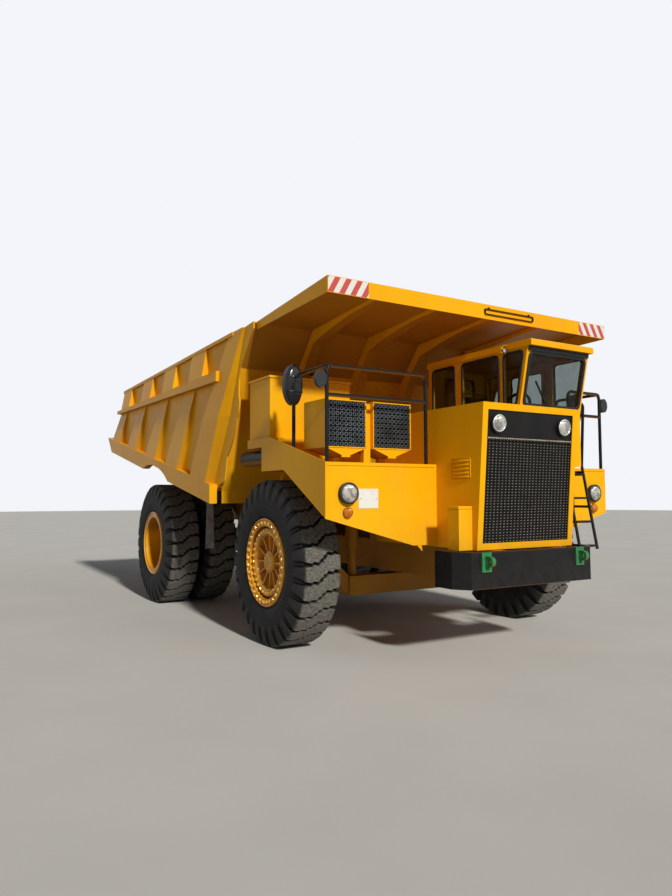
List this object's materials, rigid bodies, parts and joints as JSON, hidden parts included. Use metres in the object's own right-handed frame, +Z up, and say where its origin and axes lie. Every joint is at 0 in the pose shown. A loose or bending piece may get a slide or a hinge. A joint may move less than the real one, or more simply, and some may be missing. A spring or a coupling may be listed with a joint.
{
  "type": "rigid off-highway dump truck",
  "caption": "Two-axle rigid off-highway dump truck with offset single cab, steering front wheels, twin rear wheels and a tipping body with a front canopy.",
  "frame": {"origin": "on the ground, at the middle of the truck's outer box in plan", "axes": "+Z up, -Y towards the nose, +X to the driver's left; tyres stand on Z = 0"},
  "size_m": [4.3598, 8.8049, 3.735],
  "materials": {
    "yellow_paint": "gloss",
    "rim_yellow": "satin",
    "dark_grey_paint": "satin",
    "black_paint": "satin",
    "tyre_rubber": "matte",
    "window_glass": "gloss",
    "green_paint": "satin",
    "machinery_iron": "matte",
    "grey_steel": "satin",
    "rod_chrome": "polished",
    "black_plastic": "matte",
    "seat_cloth": "matte",
    "lamp_lens": "gloss"
  },
  "bodies": {
    "chassis": {"frame_rails": "yellow_paint", "bumper": "dark_grey_paint", "tow_hooks": "green_paint", "hood": "yellow_paint", "grille": "black_paint", "engine": "machinery_iron", "gearbox": "machinery_iron", "driveshaft": "machinery_iron", "fender_right": "yellow_paint", "fender_left": "yellow_paint", "air_reservoir": "yellow_paint", "deck_tank": "yellow_paint", "air_cleaners": "yellow_paint", "cab_shell": "yellow_paint", "cab_glass": "window_glass", "seat": "seat_cloth", "steering_column": "black_plastic", "handrails": "black_paint", "mirrors": "black_plastic", "ladder": "black_paint", "lamps": "lamp_lens", "front_axle": "yellow_paint", "rear_axle": "yellow_paint", "suspension_struts": "yellow_paint", "fuel_tank": "yellow_paint", "hydraulic_tank": "yellow_paint"},
    "knuckle_right": {"knuckle_right": "yellow_paint"},
    "knuckle_left": {"knuckle_left": "yellow_paint"},
    "front_wheel_right": {"tyre_front_right": "tyre_rubber", "rim_front_right": "rim_yellow"},
    "front_wheel_left": {"tyre_front_left": "tyre_rubber", "rim_front_left": "rim_yellow"},
    "rear_wheels_right": {"tyres_rear_right": "tyre_rubber", "rims_rear_right": "rim_yellow"},
    "rear_wheels_left": {"tyres_rear_left": "tyre_rubber", "rims_rear_left": "rim_yellow"},
    "cab_door": {"cab_door": "yellow_paint", "door_glass": "window_glass"},
    "dump_body": {"body_floor": "yellow_paint", "body_side_right": "yellow_paint", "body_side_left": "yellow_paint", "body_front_wall": "yellow_paint", "canopy": "yellow_paint", "rock_ejectors": "grey_steel"},
    "hoist_barrel_right": {"hoist_barrel_right": "yellow_paint"},
    "hoist_barrel_left": {"hoist_barrel_left": "yellow_paint"},
    "hoist_rod_right": {"hoist_rod_right": "rod_chrome"},
    "hoist_rod_left": {"hoist_rod_left": "rod_chrome"}
  },
  "joints": [
    {"name": "steer_right", "type": "hinge", "parent": "chassis", "child": "knuckle_right", "pos_m": [-1.38, -2.2375, 0.905], "axis": [0, 0, 1], "range_deg": [-30, 30]},
    {"name": "steer_left", "type": "hinge", "parent": "chassis", "child": "knuckle_left", "pos_m": [1.38, -2.2375, 0.905], "axis": [0, 0, 1], "range_deg": [-30, 30]},
    {"name": "front_wheel_right_spin", "type": "hinge", "parent": "knuckle_right", "child": "front_wheel_right", "pos_m": [-1.755, -2.2375, 0.905], "axis": [1, 0, 0], "continuous": true},
    {"name": "front_wheel_left_spin", "type": "hinge", "parent": "knuckle_left", "child": "front_wheel_left", "pos_m": [1.755, -2.2375, 0.905], "axis": [1, 0, 0], "continuous": true},
    {"name": "rear_wheels_right_spin", "type": "hinge", "parent": "chassis", "child": "rear_wheels_right", "pos_m": [-1.58, 1.5625, 0.905], "axis": [1, 0, 0], "continuous": true},
    {"name": "rear_wheels_left_spin", "type": "hinge", "parent": "chassis", "child": "rear_wheels_left", "pos_m": [1.58, 1.5625, 0.905], "axis": [1, 0, 0], "continuous": true},
    {"name": "cab_door_swing", "type": "hinge", "parent": "chassis", "child": "cab_door", "pos_m": [1.175, -2.7995, 2.5], "axis": [0, 0, 1], "range_deg": [0, 85]},
    {"name": "dump_body_tip", "type": "hinge", "parent": "chassis", "child": "dump_body", "pos_m": [0, 2.7625, 1.68], "axis": [-1, 0, 0], "range_deg": [0, 50]},
    {"name": "hoist_barrel_right_swing", "type": "hinge", "parent": "chassis", "child": "hoist_barrel_right", "pos_m": [-0.85, 0.1125, 0.82], "axis": [1, 0, 0], "range_deg": [0, 4]},
    {"name": "hoist_rod_right_slide", "type": "slide", "parent": "hoist_barrel_right", "child": "hoist_rod_right", "axis": [0, 0.8469, 0.5317], "range_m": [0, 0.7346]},
    {"name": "hoist_barrel_left_swing", "type": "hinge", "parent": "chassis", "child": "hoist_barrel_left", "pos_m": [0.85, 0.1125, 0.82], "axis": [1, 0, 0], "range_deg": [0, 4]},
    {"name": "hoist_rod_left_slide", "type": "slide", "parent": "hoist_barrel_left", "child": "hoist_rod_left", "axis": [0, 0.8469, 0.5317], "range_m": [0, 0.7346]}
  ],
  "couplings": [
    {"joint": "steer_left", "follows": "steer_right", "ratio": 1},
    {"joint": "hoist_barrel_right_swing", "follows": "dump_body_tip", "ratio": 0.07956},
    {"joint": "hoist_rod_right_slide", "follows": "dump_body_tip", "m_per_rad": 0.84127},
    {"joint": "hoist_barrel_left_swing", "follows": "dump_body_tip", "ratio": 0.07956},
    {"joint": "hoist_rod_left_slide", "follows": "dump_body_tip", "m_per_rad": 0.84127}
  ]
}
